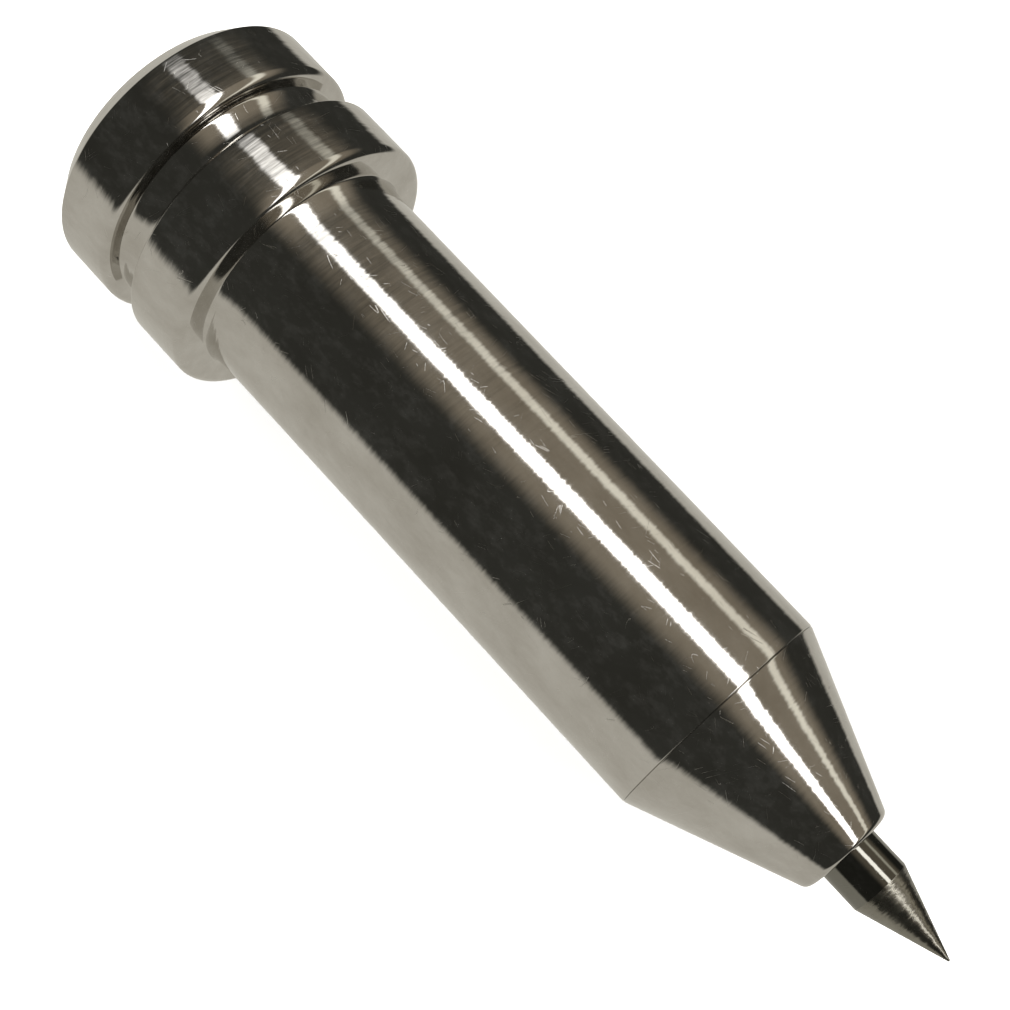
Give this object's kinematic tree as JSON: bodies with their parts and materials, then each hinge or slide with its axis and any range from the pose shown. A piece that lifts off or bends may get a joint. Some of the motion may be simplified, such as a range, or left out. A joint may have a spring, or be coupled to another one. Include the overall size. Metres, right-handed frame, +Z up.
{
  "type": "spring-loaded scriber",
  "caption": "Collared round tool holder with a screwed nose and a spring-loaded carbide point that scribes lines in metal.",
  "frame": {"origin": "on the tool's axis, in the plane of the front collar's seat face, which meets the shank", "axes": "+X along the tool's axis towards the scribing point; +Z up with the tool lying on its side; +Y completes a right-handed frame"},
  "size_m": [0.0526, 0.0148, 0.0148],
  "materials": {
    "holder_aluminium": "fine turned, polished",
    "nose_aluminium": "fine turned, polished",
    "carbide": "ground carbide",
    "steel": "turned",
    "black_steel": "blackened",
    "spring_steel": "drawn wire",
    "bronze": "reamed bronze",
    "seal_rubber": "matt"
  },
  "bodies": {
    "holder": {"barrel": "holder_aluminium", "nose_cone": "nose_aluminium", "nose_seal": "seal_rubber", "nose_bush": "bronze", "pin_wiper": "seal_rubber", "stem_bush": "bronze", "anti_turn_dowel": "steel", "return_spring": "spring_steel"},
    "plunger": {"pin_holder": "steel", "scribing_pin": "carbide", "pin_grub_screws": "black_steel", "thrust_washer": "steel"}
  },
  "joints": [
    {"name": "point_slide", "type": "slide", "parent": "holder", "child": "plunger", "axis": [-1, 0, 0], "range_m": [0, 0.002], "stiffness_N_per_m": 400, "springref_m": -0.004, "deforming": ["return_spring"]}
  ]
}
